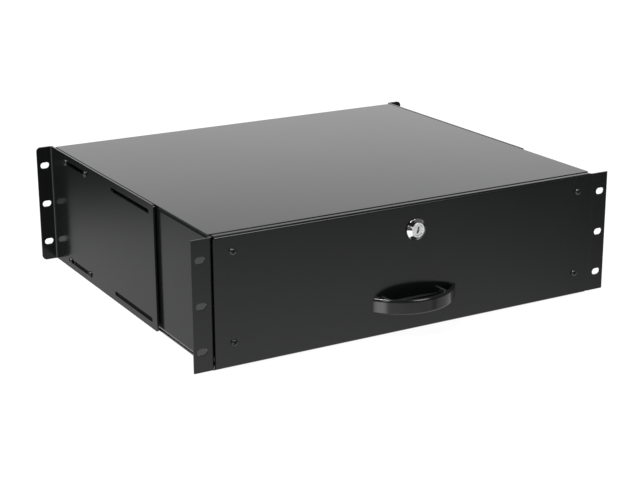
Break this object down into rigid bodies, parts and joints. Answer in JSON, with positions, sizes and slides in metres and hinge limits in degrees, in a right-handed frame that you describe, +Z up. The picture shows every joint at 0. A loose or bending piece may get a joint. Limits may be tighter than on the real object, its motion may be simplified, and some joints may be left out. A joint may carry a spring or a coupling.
{
  "type": "sliding rack drawer",
  "caption": "Lockable sliding storage drawer in a sheet-steel housing with ears for a 19-inch rack, ball-bearing slides and adjustable rear brackets.",
  "frame": {"origin": "centre of the front rack-slot pattern, on the front face of the front ears", "axes": "+X to the right seen from the front, +Y towards the rear, +Z up"},
  "size_m": [0.4826, 0.4295, 0.1314],
  "materials": {
    "black_powder_coat": "fine textured satin powder coat",
    "black_zinc_steel": "black oxide, semi-gloss",
    "zinc_plated_steel": "bright zinc plate",
    "bearing_steel": "polished",
    "gloss_black_plastic": "polished moulded plastic",
    "chrome_plate": "polished chrome plate"
  },
  "bodies": {
    "housing": {"left_side_panel": "black_powder_coat", "right_side_panel": "black_powder_coat", "top_cover": "black_powder_coat", "base_pan": "black_powder_coat", "rear_panel": "black_powder_coat", "left_slide_outer_member": "zinc_plated_steel", "right_slide_outer_member": "zinc_plated_steel", "slide_housing_rivets": "zinc_plated_steel"},
    "drawer": {"drawer_front": "black_powder_coat", "drawer_tray": "black_powder_coat", "tray_front_wall": "black_powder_coat", "tray_rear_wall": "black_powder_coat", "face_screws": "black_zinc_steel", "face_nuts": "zinc_plated_steel", "pull_handle": "gloss_black_plastic", "handle_screws": "zinc_plated_steel", "lock_housing": "chrome_plate", "lock_nut": "zinc_plated_steel", "left_slide_inner_member": "zinc_plated_steel", "right_slide_inner_member": "zinc_plated_steel", "slide_tray_rivets": "zinc_plated_steel"},
    "lock_core": {"lock_plug": "chrome_plate", "lock_cam": "zinc_plated_steel", "cam_screw": "zinc_plated_steel"},
    "left_middle_slide": {"left_slide_middle_member": "zinc_plated_steel"},
    "left_outer_balls_set": {"left_outer_ball_cage": "zinc_plated_steel", "left_outer_balls": "bearing_steel"},
    "left_inner_balls_set": {"left_inner_ball_cage": "zinc_plated_steel", "left_inner_balls": "bearing_steel"},
    "left_bracket": {"left_rear_bracket": "black_powder_coat", "left_bracket_screws": "black_zinc_steel", "left_bracket_nuts": "zinc_plated_steel", "left_bracket_spacers": "black_zinc_steel"},
    "right_middle_slide": {"right_slide_middle_member": "zinc_plated_steel"},
    "right_outer_balls_set": {"right_outer_ball_cage": "zinc_plated_steel", "right_outer_balls": "bearing_steel"},
    "right_inner_balls_set": {"right_inner_ball_cage": "zinc_plated_steel", "right_inner_balls": "bearing_steel"},
    "right_bracket": {"right_rear_bracket": "black_powder_coat", "right_bracket_screws": "black_zinc_steel", "right_bracket_nuts": "zinc_plated_steel", "right_bracket_spacers": "black_zinc_steel"}
  },
  "joints": [
    {"name": "drawer_slide", "type": "slide", "parent": "housing", "child": "drawer", "axis": [0, -1, 0], "range_m": [0, 0.35]},
    {"name": "lock_turn", "type": "hinge", "parent": "drawer", "child": "lock_core", "pos_m": [0, -0.0065, 0.039], "axis": [0, -1, 0], "range_deg": [0, 90]},
    {"name": "left_middle_slide_travel", "type": "slide", "parent": "housing", "child": "left_middle_slide", "axis": [0, -1, 0], "range_m": [0, 0.175]},
    {"name": "left_outer_balls_set_travel", "type": "slide", "parent": "housing", "child": "left_outer_balls_set", "axis": [0, -1, 0], "range_m": [0, 0.0875]},
    {"name": "left_inner_balls_set_travel", "type": "slide", "parent": "housing", "child": "left_inner_balls_set", "axis": [0, -1, 0], "range_m": [0, 0.2625]},
    {"name": "right_middle_slide_travel", "type": "slide", "parent": "housing", "child": "right_middle_slide", "axis": [0, -1, 0], "range_m": [0, 0.175]},
    {"name": "right_outer_balls_set_travel", "type": "slide", "parent": "housing", "child": "right_outer_balls_set", "axis": [0, -1, 0], "range_m": [0, 0.0875]},
    {"name": "right_inner_balls_set_travel", "type": "slide", "parent": "housing", "child": "right_inner_balls_set", "axis": [0, -1, 0], "range_m": [0, 0.2625]},
    {"name": "left_bracket_slide", "type": "slide", "parent": "housing", "child": "left_bracket", "axis": [0, 1, 0], "range_m": [0, 0.025]},
    {"name": "right_bracket_slide", "type": "slide", "parent": "housing", "child": "right_bracket", "axis": [0, 1, 0], "range_m": [0, 0.025]}
  ],
  "couplings": [
    {"joint": "left_middle_slide_travel", "follows": "drawer_slide", "ratio": 0.5},
    {"joint": "left_outer_balls_set_travel", "follows": "drawer_slide", "ratio": 0.25},
    {"joint": "left_inner_balls_set_travel", "follows": "drawer_slide", "ratio": 0.75},
    {"joint": "right_middle_slide_travel", "follows": "drawer_slide", "ratio": 0.5},
    {"joint": "right_outer_balls_set_travel", "follows": "drawer_slide", "ratio": 0.25},
    {"joint": "right_inner_balls_set_travel", "follows": "drawer_slide", "ratio": 0.75}
  ]
}
